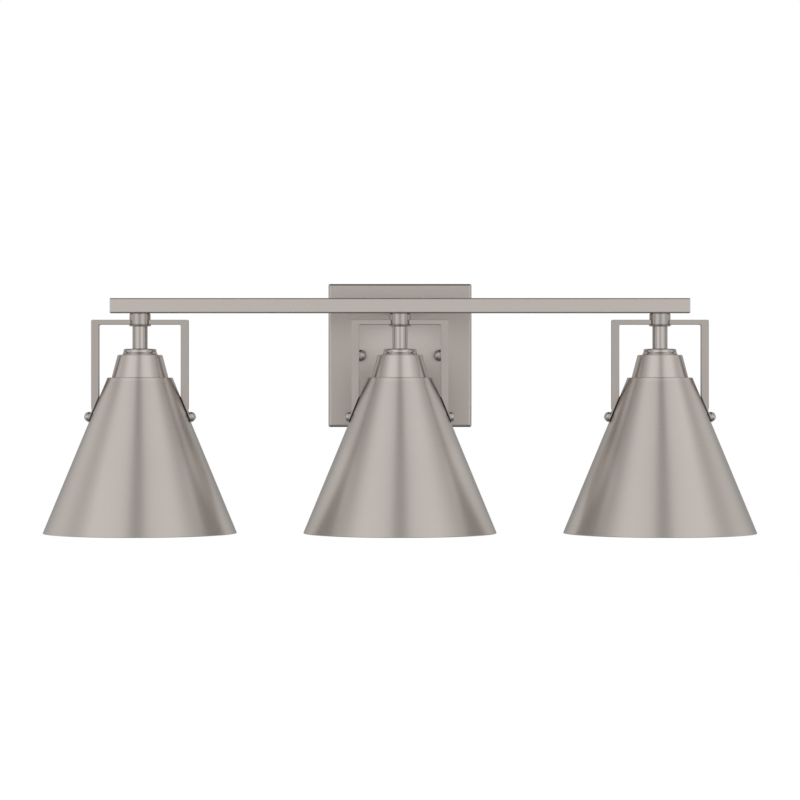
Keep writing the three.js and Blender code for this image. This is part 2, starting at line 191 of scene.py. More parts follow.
def prism(name, outline, lo, hi, axis="Y", bevel=0.35, segs=3, frame_m=None, origin=(0, 0, 0), holes=(), sharp=32.0, ends=None):
    """Extrudes a closed outline between lo and hi along an axis (or along frame_m's Z), with rounded edges. Holes are closed outlines."""
    loops = [clean(outline)] + [clean(h) for h in holes]
    b = bevel if ends is None else ends
    steps = [(b * (1 - math.sin(k / segs * math.pi / 2)), b * (1 - math.cos(k / segs * math.pi / 2))) for k in range(segs + 1)] if b else [(0.0, 0.0)]
    levels = [(ins, lo + up) for ins, up in steps] + [(ins, hi - up) for ins, up in reversed(steps)]
    bm = bmesh.new()
    stacks = []
    for ins, h in levels:
        rows = []
        for i, pts in enumerate(loops):
            moved = inset(pts, ins if i == 0 else -ins) if ins > 1e-9 else pts
            rows.append([bm.verts.new((p[0], p[1], h)) for p in moved])
        stacks.append(rows)
    for lower, upper in zip(stacks, stacks[1:]):
        for la, lb in zip(lower, upper):
            for k in range(len(la)):
                j = (k + 1) % len(la)
                bm.faces.new((la[k], la[j], lb[j], lb[k]))
    for rows in (stacks[0], stacks[-1]):
        flat = [v for r in rows for v in r]
        if holes:
            for t in tessellate_polygon([[Vector((v.co.x, v.co.y, 0)) for v in r] for r in rows]):
                bm.faces.new([flat[i] for i in t])
        else:
            bm.faces.new(flat)
    if frame_m is not None:
        m = frame_m
        origin = tuple(frame_m.to_translation())
    elif axis == "Y":
        m = Matrix(((1, 0, 0, 0), (0, 0, 1, 0), (0, 1, 0, 0), (0, 0, 0, 1)))
    elif axis == "X":
        m = Matrix(((0, 0, 1, 0), (1, 0, 0, 0), (0, 1, 0, 0), (0, 0, 0, 1)))
    else:
        m = Matrix.Identity(4)
    bm.transform(m)
    bm.transform(Matrix.Translation(-Vector(origin)))
    bm.transform(Matrix.Scale(MM, 4))
    bmesh.ops.recalc_face_normals(bm, faces=bm.faces)
    me = bpy.data.meshes.new(name)
    bm.to_mesh(me)
    bm.free()
    me.shade_smooth()
    me.set_sharp_from_angle(angle=math.radians(sharp))
    ob = bpy.data.objects.new(name, me)
    ob.location = Vector(origin) * MM
    bpy.context.scene.collection.objects.link(ob)
    return face_weighted(ob)


def tube_path(name, points, r, segs=14, closed_ends=True):
    """A round wire along a Catmull-Rom curve through points (mm)."""
    pts = [Vector(p) for p in points]
    line = []
    for i in range(len(pts) - 1):
        p0, p1, p2, p3 = pts[max(i - 1, 0)], pts[i], pts[i + 1], pts[min(i + 2, len(pts) - 1)]
        for k in range(10):
            t = k / 10
            line.append(0.5 * ((2 * p1) + (p2 - p0) * t + (2 * p0 - 5 * p1 + 4 * p2 - p3) * t * t + (3 * p1 - p0 - 3 * p2 + p3) * t ** 3))
    line.append(pts[-1])
    tan = [(line[min(i + 1, len(line) - 1)] - line[max(i - 1, 0)]).normalized() for i in range(len(line))]
    up = Vector((0, 0, 1)) if abs(tan[0].z) < 0.9 else Vector((1, 0, 0))
    u = (up - tan[0] * up.dot(tan[0])).normalized()
    verts, faces = [], []
    for p, t in zip(line, tan):
        u = (u - t * u.dot(t)).normalized()
        v = t.cross(u)
        verts += [p + (u * math.cos(2 * math.pi * k / segs) + v * math.sin(2 * math.pi * k / segs)) * r for k in range(segs)]
    for i in range(len(line) - 1):
        for k in range(segs):
            j = (k + 1) % segs
            faces.append((i * segs + k, i * segs + j, (i + 1) * segs + j, (i + 1) * segs + k))
    faces.append(tuple(reversed(range(segs))))
    faces.append(tuple(range((len(line) - 1) * segs, len(line) * segs)))
    return put(name, verts, faces, tuple(line[0]), 50.0)


def slotted(ob, lo, hi):
    """Cuts a box (mm, row frame) out of a turned piece."""
    corners = [(x, y, z) for x in (lo[0], hi[0]) for y in (lo[1], hi[1]) for z in (lo[2], hi[2])]
    cutter = put("cutter", corners, [(0, 1, 3, 2), (4, 6, 7, 5), (0, 4, 5, 1), (2, 3, 7, 6), (0, 2, 6, 4), (1, 5, 7, 3)], corners[0])
    ob.modifiers.clear()
    mod = ob.modifiers.new("slot", "BOOLEAN")
    mod.operation, mod.solver, mod.object = "DIFFERENCE", "EXACT", cutter
    bpy.context.view_layer.update()
    me = bpy.data.meshes.new_from_object(ob.evaluated_get(bpy.context.evaluated_depsgraph_get()))
    ob.modifiers.clear()
    ob.data = me
    bpy.data.objects.remove(cutter)
    me.shade_smooth()
    me.set_sharp_from_angle(angle=math.radians(32))
    return face_weighted(ob)


def circle(r, cx=0.0, cy=0.0, n=48, a0=0.0):
    return [(cx + r * math.cos(a0 + 2 * math.pi * k / n), cy + r * math.sin(a0 + 2 * math.pi * k / n)) for k in range(n)]


# ------------------------------------------------------------------ materials
def new_mat(name):
    m = bpy.data.materials.new(name)
    m.use_nodes = True
    nt = m.node_tree
    return m, nt, nt.nodes["Principled BSDF"]


def link(nt, a, b):
    nt.links.new(a, b)


def math_node(nt, op, a=None, b=None, c=None):
    n = nt.nodes.new("ShaderNodeMath")
    n.operation = op
    for i, v in enumerate((a, b, c)):
        if v is None:
            continue
        if isinstance(v, (int, float)):
            n.inputs[i].default_value = v
        else:
            link(nt, v, n.inputs[i])
    return n.outputs[0]


def ranged(nt, value, lo, hi, a, b):
    n = nt.nodes.new("ShaderNodeMapRange")
    n.inputs[1].default_value, n.inputs[2].default_value = lo, hi
    n.inputs[3].default_value, n.inputs[4].default_value = a, b
    link(nt, value, n.inputs[0])
    return n.outputs[0]


def tinted(nt, value, dark, light):
    n = nt.nodes.new("ShaderNodeMix")
    n.data_type = "RGBA"
    n.inputs[6].default_value = (*dark, 1)
    n.inputs[7].default_value = (*light, 1)
    link(nt, value, n.inputs[0])
    return n.outputs[2]


def noise_of(nt, vector, scale, detail=3.0, rough=0.55):
    n = nt.nodes.new("ShaderNodeTexNoise")
    n.inputs["Scale"].default_value = scale
    n.inputs["Detail"].default_value = detail
    n.inputs["Roughness"].default_value = rough
    link(nt, vector, n.inputs["Vector"])
    return n.outputs["Fac"]


def grain_vector(nt, kind, along, across):
    """Object coordinates stretched along the brushing: 'spun' runs round the Z axis, the letters run along that axis."""
    tc = nt.nodes.new("ShaderNodeTexCoord")
    sep = nt.nodes.new("ShaderNodeSeparateXYZ")
    link(nt, tc.outputs["Object"], sep.inputs[0])
    x, y, z = sep.outputs
    com = nt.nodes.new("ShaderNodeCombineXYZ")
    if kind == "spun":
        r = math_node(nt, "SQRT", math_node(nt, "ADD", math_node(nt, "MULTIPLY", x, x), math_node(nt, "MULTIPLY", y, y)))
        w = math_node(nt, "SUBTRACT", z, r)
        parts = (math_node(nt, "MULTIPLY", x, along), math_node(nt, "MULTIPLY", y, along), math_node(nt, "MULTIPLY", w, across))
    else:
        parts = tuple(math_node(nt, "MULTIPLY", c, along if kind == k else across) for k, c in zip("XYZ", (x, y, z)))
    for i, p in enumerate(parts):
        link(nt, p, com.inputs[i])
    return com.outputs[0], tc.outputs["Object"]


NICKEL = (0.622, 0.568, 0.531)


def nickel(name, kind, rough=0.3, aniso=0.65, bump=0.03, tone=1.0, fine=5200.0, vary=0.022, edge_tint=0.6):
    m, nt, bsdf = new_mat(name)
    vec, obj = grain_vector(nt, kind, 22.0, fine)
    g1 = noise_of(nt, vec, 1.0, 4.0, 0.62)
    vec2, _ = grain_vector(nt, kind, 9.0, fine / 2.6)
    g2 = noise_of(nt, vec2, 1.0, 2.0)
    cloud = noise_of(nt, obj, 16.0, 3.0)
    grain = math_node(nt, "ADD", math_node(nt, "MULTIPLY", g1, 0.6), math_node(nt, "MULTIPLY", g2, 0.4))
    # tone below 1.0 darkens the base colour of this one nickel finish for a part: painted shade
    base = tinted(nt, ranged(nt, grain, 0.3, 0.7, 0.0, 1.0), tuple(c * (1 - vary) * tone for c in NICKEL), tuple(min(1, c * (1 + vary) * tone) for c in NICKEL))
    # painted highlight: the base colour is lighter where the form is convex (Pointiness), and the roughness a little
    # lower there
    geo = nt.nodes.new("ShaderNodeNewGeometry")
    edge = ranged(nt, geo.outputs["Pointiness"], 0.515, 0.60, 0.0, 1.0)
    mix = nt.nodes.new("ShaderNodeMix")
    mix.data_type = "RGBA"
    link(nt, math_node(nt, "MULTIPLY", edge, 0.35), mix.inputs[0])
    link(nt, base, mix.inputs[6])
    mix.inputs[7].default_value = (0.70 * tone, 0.645 * tone, 0.605 * tone, 1)
    link(nt, mix.outputs[2], bsdf.inputs["Base Color"])
    r = math_node(nt, "ADD", ranged(nt, grain, 0.3, 0.7, rough - 0.02, rough + 0.02), ranged(nt, cloud, 0.3, 0.7, -0.02, 0.02))
    link(nt, math_node(nt, "SUBTRACT", r, math_node(nt, "MULTIPLY", edge, 0.05)), bsdf.inputs["Roughness"])
    bsdf.inputs["Metallic"].default_value = 1.0
    bsdf.inputs["Specular Tint"].default_value = (edge_tint * 0.95, edge_tint * 0.97, edge_tint * 0.96, 1)      # edge tint of the metal
    bsdf.inputs["Anisotropic"].default_value = aniso
    bsdf.inputs["Anisotropic Rotation"].default_value = 0.25      # gloss spreads across the brushing
    if aniso:
        if kind == "spun":
            t = nt.nodes.new("ShaderNodeTangent")
            t.direction_type = "RADIAL"
            t.axis = "Z"
            link(nt, t.outputs[0], bsdf.inputs["Tangent"])
        else:
            t = nt.nodes.new("ShaderNodeCombineXYZ")
            for i, k in enumerate("XYZ"):
                t.inputs[i].default_value = 1.0 if kind == k else 0.0
            link(nt, t.outputs[0], bsdf.inputs["Tangent"])
    b = nt.nodes.new("ShaderNodeBump")
    b.inputs["Strength"].default_value = bump
    b.inputs["Distance"].default_value = 0.0003
    link(nt, grain, b.inputs["Height"])
    link(nt, b.outputs[0], bsdf.inputs["Normal"])
    return m


def coated(name, color, rough, metallic=0.0, vary=0.08, scale=300.0, bump=0.05, distance=0.0002, coat=0.0, transmission=0.0, ior=1.5):
    m, nt, bsdf = new_mat(name)
    tc = nt.nodes.new("ShaderNodeTexCoord")
    n = noise_of(nt, tc.outputs["Object"], scale, 4.0)
    big = noise_of(nt, tc.outputs["Object"], scale / 12, 2.0)
    mixv = math_node(nt, "ADD", math_node(nt, "MULTIPLY", n, 0.5), math_node(nt, "MULTIPLY", big, 0.5))
    v = ranged(nt, mixv, 0.35, 0.65, 0.0, 1.0)
    link(nt, tinted(nt, v, tuple(c * (1 - vary) for c in color), tuple(min(1.0, c * (1 + vary)) for c in color)), bsdf.inputs["Base Color"])
    link(nt, ranged(nt, mixv, 0.35, 0.65, max(0.02, rough - 0.05), rough + 0.05), bsdf.inputs["Roughness"])
    bsdf.inputs["Metallic"].default_value = metallic
    bsdf.inputs["Coat Weight"].default_value = coat
    bsdf.inputs["Transmission Weight"].default_value = transmission
    bsdf.inputs["IOR"].default_value = ior
    b = nt.nodes.new("ShaderNodeBump")
    b.inputs["Strength"].default_value = bump
    b.inputs["Distance"].default_value = distance
    link(nt, n, b.inputs["Height"])
    link(nt, b.outputs[0], bsdf.inputs["Normal"])
    return m


# The parts share one brushed nickel. Tone values below 1.0 are darker copies of it for the collar, stem, check ring,
# cap nuts, backplate and harp: painted shade.
M = {
    "spun": nickel("nickel_spun", "spun", rough=0.30, aniso=0.6),
    "spun_small": nickel("nickel_spun_small", "spun", rough=0.21, aniso=0.0, fine=7000.0, tone=0.74),
    "collar": nickel("nickel_collar", "spun", rough=0.20, aniso=0.0, fine=7000.0, tone=0.64),
    "plate": nickel("nickel_plate", "Z", rough=0.34, aniso=0.4, tone=0.80),
    "harp": nickel("nickel_harp", "Z", rough=0.34, aniso=0.4, tone=0.71),
    "ring": nickel("nickel_check_ring", "spun", rough=0.22, aniso=0.0, bump=0.02, tone=0.80),
    "nut": nickel("nickel_cap_nut", "spun", rough=0.24, aniso=0.0, bump=0.03, tone=0.74),
    "long": nickel("nickel_long_grain", "X", rough=0.32, aniso=0.45),
    "upright": nickel("nickel_upright_grain", "Z", rough=0.34, aniso=0.4),
    "depth": nickel("nickel_depth_grain", "Y", rough=0.34, aniso=0.4),
    "polished": nickel("nickel_polished", "spun", rough=0.15, aniso=0.0, bump=0.02, tone=0.88),
    "zinc": coated("zinc_plate", (0.60, 0.61, 0.62), 0.36, metallic=1.0, vary=0.07, scale=420.0),
    "brass": coated("rolled_brass", (0.72, 0.56, 0.30), 0.28, metallic=1.0, vary=0.06, scale=500.0),
    "alu": coated("rolled_aluminium", (0.76, 0.76, 0.77), 0.27, metallic=1.0, vary=0.05, scale=600.0),
    "porcelain": coated("glazed_porcelain", (0.84, 0.82, 0.77), 0.16, vary=0.03, scale=120.0, bump=0.03, coat=0.6),
    "phenolic": coated("moulded_phenolic", (0.030, 0.028, 0.026), 0.42, vary=0.25, scale=900.0, bump=0.12),
    "bulb": coated("soft_white_bulb", (0.90, 0.89, 0.86), 0.22, vary=0.015, scale=80.0, bump=0.01, coat=0.8),
    "insulator": coated("black_glass", (0.018, 0.016, 0.014), 0.08, vary=0.3, scale=200.0, bump=0.02, coat=0.5),
    "black_wire": coated("black_insulation", (0.022, 0.022, 0.022), 0.45, vary=0.25, scale=1200.0, bump=0.15),
    "white_wire": coated("white_insulation", (0.80, 0.79, 0.75), 0.42, vary=0.05, scale=1200.0, bump=0.15),
    "orange": coated("orange_moulding", (0.72, 0.24, 0.045), 0.40, vary=0.08, scale=700.0, bump=0.1),
    "green": coated("green_zinc", (0.05, 0.26, 0.09), 0.33, metallic=0.6, vary=0.12, scale=500.0),
    "copper": coated("bare_copper", (0.78, 0.42, 0.27), 0.32, metallic=1.0, vary=0.1, scale=500.0),
    "inside": nickel("nickel_inside", "spun", rough=0.42, aniso=0.3, tone=0.9),
}


def dress(ob, mat, body, slot, *nodes):
    ob.data.materials.clear()
    ob.data.materials.append(M[mat])
    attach(ob, body)
    if nodes:
        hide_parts(*nodes)
    return ob


NI = "brushed_nickel"

# ------------------------------------------------------------------ backplate, a pressed square pan
HALF, DEPTH = 63.5, 22.0


def square(half, r, n=8):
    pts = []
    for q, (sx, sy) in enumerate(((1, 1), (-1, 1), (-1, -1), (1, -1))):
        for i in range(n + 1):
            a = (q + i / n) * math.pi / 2
            pts.append((sx * (half - r) + r * math.cos(a), sy * (half - r) + r * math.sin(a)))
    return pts


def pan(name):
    """Rings of rounded squares from the rim, round the front edge, over the face, and back down the inside."""
    rings = []
    def ring(inset, y, r):
        rings.append([(x, y, z) for x, z in square(HALF - inset, r)])
    ring(0.25, 0.0, 1.4)
    ring(0.0, -0.25, 1.6)
    e = 2.5
    for k in range(11):
        a = k / 10 * math.pi / 2
        d = e - e * math.cos(a)
        ring(d, -DEPTH + e - e * math.sin(a), max(0.15, 1.6 - d))
    ring(5.0, -DEPTH, 0.15)
    front = len(rings) - 1
    verts, faces, count = [], [], len(rings[0])
    for r in rings:
        verts += r
    inner = []
    def iring(inset, y, r):
        inner.append([(x, y, z) for x, z in square(HALF - inset, r)])
    iring(0.95, 0.0, 1.1)
    iring(1.2, -0.25, 1.0)
    for k in range(4):
        a = k / 3 * math.pi / 2
        iring(1.2 + 0.8 - 0.8 * math.cos(a), -DEPTH + 1.2 + 0.8 - 0.8 * math.sin(a), 1.0 - 0.7 * (1 - math.cos(a)))
    iring(5.0, -DEPTH + 1.2, 0.3)
    base = len(verts)
    for r in inner:
        verts += r
    for i in range(len(rings) - 1):
        for k in range(count):
            j = (k + 1) % count
            faces.append((i * count + k, i * count + j, (i + 1) * count + j, (i + 1) * count + k))
    faces.append(tuple(front * count + k for k in range(count)))
    for i in range(len(inner) - 1):
        for k in range(count):
            j = (k + 1) % count
            faces.append((base + i * count + j, base + i * count + k, base + (i + 1) * count + k, base + (i + 1) * count + j))
    faces.append(tuple(base + (len(inner) - 1) * count + k for k in reversed(range(count))))
    for k in range(count):
        j = (k + 1) % count
        faces.append((k, j, base + j, base + k))
    return put(name, verts, faces, (0, 0, 0), 30.0)


dress(face_weighted(pan("backplate_pan")), "plate", "fixture", NI, "backplate")

# ------------------------------------------------------------------ wall strap, studs, lock nut, earth screw
slots = []
for s in (-1, 1):
    slots.append([(s * 44.45 + x, y) for x, y in [(3.6 + 2.3 * math.cos(a), 2.3 * math.sin(a)) for a in [(-0.5 + i / 12) * math.pi for i in range(13)]]
                  + [(-3.6 + 2.3 * math.cos(a), 2.3 * math.sin(a)) for a in [(0.5 + i / 12) * math.pi for i in range(13)]]])
    slots.append(circle(2.15, s * 34.925, 0, 24))
slots.append(circle(6.5, 0, 0, 48))
slots.append(circle(2.1, -20, 0, 24))
strap_outline = rounded([(-53, -10, 2.0), (53, -10, 2.0), (53, 10, 2.0), (-53, 10, 2.0)], n=6)
dress(prism("wall_strap_plate", strap_outline, -2.0, 0.0, "Y", bevel=0.2, segs=2, holes=slots), "zinc", "fixture", "zinc_steel", "wall_strap")
TO_ROOM = Matrix.Rotation(math.radians(90), 4, "X")          # local +Z points into the room (-Y)
for side, s in (("left", -1), ("right", 1)):
    x = s * 34.925
    m = Matrix.Translation((x, 0, 0)) @ TO_ROOM
    dress(threaded(f"stud_{side}_thread", 1.72, 2.0, 0.3, 28.5, 0.7937, frame_m=m, segs=28, per=7), "zinc", "fixture", "zinc_steel", f"stud_{side}")
    f = DEPTH + 0.12
    prof = rounded([(0.0, 9.0 + f - 0.12, 0), (2.6, 9.0 + f - 0.12, 2.4), (4.85, 6.6 + f, 2.2), (4.85, 4.4 + f, 0.2), (4.45, 4.1 + f, 0.15), (4.45, 3.6 + f, 0.15), (5.05, 3.3 + f, 0.25), (5.05, f, 0.2), (2.3, f, 0.1), (2.3, 6.6 + f, 0.3), (0.0, 7.2 + f, 0)], closed=False, n=6)
    dress(lathe(f"cap_nut_{side}_turned", prof, segs=64, frame_m=m), "nut", f"cap_nut_{side}", NI, f"cap_nut_{side}")

hexo = circle(8.4, 0, 0, 6)
m = Matrix.Translation((0, 0, BAR_Z)) @ TO_ROOM
dress(prism("arm_lock_nut_hex", circle(8.2, 0, 0, 6, math.pi / 6), 17.4, 20.6, bevel=0.3, segs=2, frame_m=m, holes=[circle(5.1, 0, 0, 40)]), "zinc", "fixture", "zinc_steel", "arm_lock_nut")

m = Matrix.Translation((-20, 0, 0)) @ TO_ROOM
dress(threaded("ground_screw_thread", 1.6, 1.9, 0.3, 2.4, 0.7, frame_m=m, segs=24, per=8, ends=0.3), "green", "fixture", "green_steel", "ground_screw")
dress(prism("ground_screw_head", circle(4.0, 0, 0, 6), 2.3, 5.0, bevel=0.35, segs=3, frame_m=m,
            holes=[]), "green", "fixture", "green_steel")

# ------------------------------------------------------------------ support arm and bar
h = 6.35
sq = rounded([(-h, -h, 0.9), (h, -h, 0.9), (h, h, 0.9), (-h, h, 0.9)], n=5)
dress(prism("support_arm_tube", [(x, z + BAR_Z) for x, z in sq], -105.75, -22.02, "Y", bevel=0.0, origin=(0, -60, BAR_Z)), "depth", "fixture", NI, "support_arm")
m = Matrix.Translation((0, 0, BAR_Z)) @ TO_ROOM
nip = threaded("support_arm_nipple", 4.5, 4.9, 13.0, 23.0, 1.0, frame_m=m, segs=40, per=8)
dress(nip, "zinc", "fixture", "zinc_steel")

bar_sq = rounded([(LAMP_Y - h, BAR_Z - h, 1.2), (LAMP_Y + h, BAR_Z - h, 1.2), (LAMP_Y + h, BAR_Z + h, 1.3), (LAMP_Y - h, BAR_Z + h, 1.3)], n=7)
bar = prism("light_bar_tube", bar_sq, -247.65, 247.65, "X", bevel=0.45, segs=4, origin=(0, LAMP_Y, BAR_Z))
dress(bar, "long", "fixture", NI, "light_bar")

# ------------------------------------------------------------------ wiring in the backplate
for side, s, mat, name in (("left", -1, "black_wire", "hot"), ("right", 1, "white_wire", "neutral")):
    w = tube_path(f"lead_{name}_fixture", [(s * 1.6, -30, BAR_Z), (s * 1.6, -13, BAR_Z), (s * 3.5, -10.2, BAR_Z + 1.0), (s * 9.0, -10.4, BAR_Z + 0.2), (s * 13.0, -11.2, BAR_Z - 3.2), (s * 14.0, -11.2, 32.0), (s * 14.0, -11.2, 27.0)], 1.25)
    if name == "hot":
        dress(w, mat, "fixture", "wire_insulation", "wiring_loom")
    else:
        dress(w, mat, "fixture", "wire_insulation")
    ribs = 12
    verts, faces = [], []
    rows = [(0.0, 14.0), (2.6, 14.0), (3.5, 14.4), (3.9, 15.4), (4.2, 18.0), (4.6, 23.0), (5.0, 28.0), (5.15, 30.4), (4.95, 31.2), (5.2, 31.4), (5.2, 32.2), (4.9, 32.4), (3.0, 32.4), (2.7, 32.0), (2.7, 24.0), (0.0, 24.0)]
    n = 96
    ids = []
    for r, z in rows:
        if r == 0:
            ids.append([len(verts)])
            verts.append((s * 14.0, -11.2, z))
            continue
        ids.append(list(range(len(verts), len(verts) + n)))
        rib = 1.0 if 15.0 < z < 30.5 and r > 3.6 else 0.0
        for k in range(n):
            a = 2 * math.pi * k / n
            rr = r - rib * 0.28 * (0.5 - 0.5 * math.cos(ribs * a))
            verts.append((s * 14.0 + rr * math.cos(a), -11.2 + rr * math.sin(a), z))
    for a, b in zip(ids, ids[1:]):
        for k in range(n):
            j = (k + 1) % n
            if len(a) == 1:
                faces.append((a[0], b[j], b[k]))
            elif len(b) == 1:
                faces.append((a[k], a[j], b[0]))
            else:
                faces.append((a[k], a[j], b[j], b[k]))
    dress(put(f"wire_connector_{name}_cap", verts, faces, (s * 14.0, -11.2, 20.0), 35.0), "orange", "fixture", "connector_plastic", f"wire_connector_{name}")
dress(tube_path("ground_lead_wire", [(-20, -5.9, -5.2), (-24.4, -5.9, -1.5), (-22.4, -6.4, 4.4), (-20.9, -8.6, 9.5), (-20.9, -13.3, 20), (-16, -17.4, 32), (-10.6, -18.9, 38.5)], 0.8), "copper", "fixture", "bare_copper", "ground_lead")

# ------------------------------------------------------------------ lamps
TOP, RIM, R0, R1 = -20.4, -153.4, 27.7, 82.55
SL = math.hypot(RIM - TOP, R1 - R0)
TS, TC = (R1 - R0) / SL, (TOP - RIM) / SL
FOOT_GAP = 0.62
SCREW_S = (TOP + 54.6) / TC


def cone(s, o):
    return (R0 + TS * s + TC * o, TOP - TC * s + TS * o)


def screw_frame(x0, sign):
    n = Vector((sign * TC, 0, TS))
    xx, zz = cone(SCREW_S, 0)
    y = Vector((0, 1, 0))
    x = y.cross(n)
    m = Matrix((x, y, n)).transposed().to_4x4()
    m.translation = (x0 + sign * xx, LAMP_Y, zz)
    return m


def spin_profile_shade():
    w = 0.9
    a, b = cone(0, 0), cone(SL, 0)
    ai, bi = cone(0.9, -w), cone(SL, -w)
    pts = [(17.0, TOP, 0.15), (a[0] + 0.14, TOP, 0.4), (*cone(2.3, 0.08), 0.1), (*cone(2.6, 0.0), 0.3), (b[0] - 0.02, RIM + 0.6, 0.0), (R1, RIM + 0.35, 0.25), (R1 - 0.35, RIM, 0.25), (R1 - 1.1, RIM, 0.3), (bi[0], RIM + 0.9, 0.0), (ai[0] + 0.2, TOP - w - 0.2, 1.0), (17.0, TOP - w - 0.2, 0.15)]
    return rounded(pts, closed=True, n=6)


for side, x0 in LAMPS.items():
    at = (x0, LAMP_Y)
    # sleeve under the bar, its skirt slotted for the harp's crossbar
    collar = lathe(f"collar_{side}_turned", rounded([(4.7, 29.3, 0.1), (7.5, 29.3, 0.1), (7.5, 24.92, 0.1), (9.0, 24.92, 0.5), (9.0, 33.9, 0.45), (8.35, 34.35, 0.2), (8.35, 34.75, 0.05), (4.7, 34.75, 0.1)]), at, 96)
    dress(slotted(collar, (x0 - 12, LAMP_Y - 4.15, 20), (x0 + 12, LAMP_Y + 4.15, 29.25)), "collar", "fixture", NI, f"collar_{side}")
    # stem with its lip
    dress(lathe(f"stem_{side}_turned", rounded([(4.4, 24.85, 0.1), (9.3, 24.85, 0.2), (9.3, 24.2, 0.3), (8.6, 23.5, 0.3), (6.45, 23.4, 0.25), (6.45, 4.15, 0.05), (4.4, 4.15, 0.1)]), at, 96), "spun_small", "fixture", NI, f"stem_{side}")
    # check ring, a flared bead
    dress(lathe(f"check_ring_{side}_turned", rounded([(4.7, 4.2, 0.1), (13.9, 4.2, 1.7), (14.1, 1.3, 0.8), (15.0, -0.3, 0.4), (15.1, -0.95, 0.1), (4.7, -0.95, 0.1)], n=8), at, 96), "ring", "fixture", NI, f"check_ring_{side}")
    # socket cup
    dress(lathe(f"socket_cup_{side}_spun", rounded([(4.8, -1.0, 0.1), (19.05, -1.0, 0.8), (24.1, -20.05, 0.25), (24.1, -20.38, 0.1), (23.0, -20.38, 0.1), (18.2, -2.3, 0.8), (4.8, -2.3, 0.1)], n=6), at, 112), "spun", "fixture", NI, f"socket_cup_{side}")
    # shade
    dress(lathe(f"shade_{side}_spun", spin_profile_shade(), at, 192), "spun", "fixture", NI, f"shade_{side}")

    # harp: flat frame, eye round the stem, feet along the cone
    pad = 1.5
    join = (TOP + TS * pad + 48.8) / TC
    meet = (35.0 - R0 - TC * FOOT_GAP) / TS
    right = [(41.5, 29.0, 1.0), (41.5, -46.0, 1.2)] + [(*cone(join, pad), 0.8), (*cone(join + 3, pad), 0), (*cone(join + 3, FOOT_GAP), 0), (*cone(meet, FOOT_GAP), 0.5), (35.0, 24.9, 1.3)]
    outline = rounded(right + [(-x, z, r) for x, z, r in reversed(right)], n=5)
    dress(prism(f"harp_{side}_frame", [(x0 + x, z) for x, z in outline], LAMP_Y - 4.0, LAMP_Y + 4.0, "Y", bevel=0.32, segs=3, origin=(x0, LAMP_Y, 0)), "harp", "fixture", NI, f"harp_{side}")
    dress(lathe(f"harp_{side}_eye", rounded([(4.7, 24.95, 0.1), (7.2, 24.95, 0.2), (7.2, 28.95, 0.2), (4.7, 28.95, 0.1)]), at, 96), "spun_small", "fixture", NI)
    for n, sign in ((1, -1), (2, 1)):
        m = screw_frame(x0, sign)
        w, up = 4.5, -9.0
        foot = [(up, -w + 2.9), (-3.6, -w)] + [(w * math.cos(a), w * math.sin(a)) for a in [(-0.5 + i / 20) * math.pi for i in range(1, 20)]] + [(-3.6, w), (up, w - 2.9)]
        if sign < 0:
            foot = [(-x, -y) for x, y in foot]
        dress(prism(f"harp_{side}_foot_{n}", foot, FOOT_GAP, 1.6, frame_m=m, bevel=0.22, segs=2, holes=[circle(2.2, 0, 0, 24)]), "harp", "fixture", NI)
        # thin black strip filling the gap between the foot and the shade: painted shade, standing in for the shadow in
        # that gap
        strip = [cone(meet + 0.2, 0.04), cone(SCREW_S + 3.6, 0.04), cone(SCREW_S + 3.6, FOOT_GAP), cone(meet + 0.2, FOOT_GAP)]
        dress(prism(f"harp_{side}_shadow_strip_{n}", [(x0 + sign * x, z) for x, z in strip], LAMP_Y - 3.9, LAMP_Y + 3.9, "Y", bevel=0.08, segs=1, origin=(x0 + sign * 38, LAMP_Y, -45)), "phenolic", "fixture", "phenolic")
        # clinch nut inside the shade
        dress(prism(f"shade_{side}_nut_{n}", circle(4.0, 0, 0, 6), -3.6, -0.75, frame_m=m, bevel=0.25, segs=2, holes=[circle(2.1, 0, 0, 24)]), "zinc", "fixture", NI)
        # dome-head screw
        head = rounded([(0.0, 6.0, 0), (2.2, 5.85, 2.5), (4.0, 3.6, 1.6), (4.0, 2.75, 0.15), (4.2, 2.6, 0.12), (4.2, 1.6, 0.15), (2.0, 1.6, 0.0), (0.0, 1.6, 0)], closed=False, n=7)
        dress(lathe(f"harp_screw_{side}_{n}_head", head, segs=64, frame_m=m), "polished", f"harp_screw_{side}_{n}", NI, f"harp_screw_{side}_{n}")
        dress(threaded(f"harp_screw_{side}_{n}_shank", 1.7, 2.0, -6.0, 1.8, 0.7, frame_m=m, segs=28, per=7, ends=0.5), "zinc", f"harp_screw_{side}_{n}", NI)

    # socket and its ring
    dress(lathe(f"socket_body_{side}_glazed", rounded([(0.0, -3.5, 0), (14.6, -3.5, 1.2), (16.6, -5.6, 1.0), (16.6, -47.5, 0.9), (14.35, -47.5, 0.7), (14.35, -15.6, 0.8), (0.0, -15.6, 0)], closed=False, n=6), at, 96), "porcelain", "fixture", "porcelain", f"socket_body_{side}")
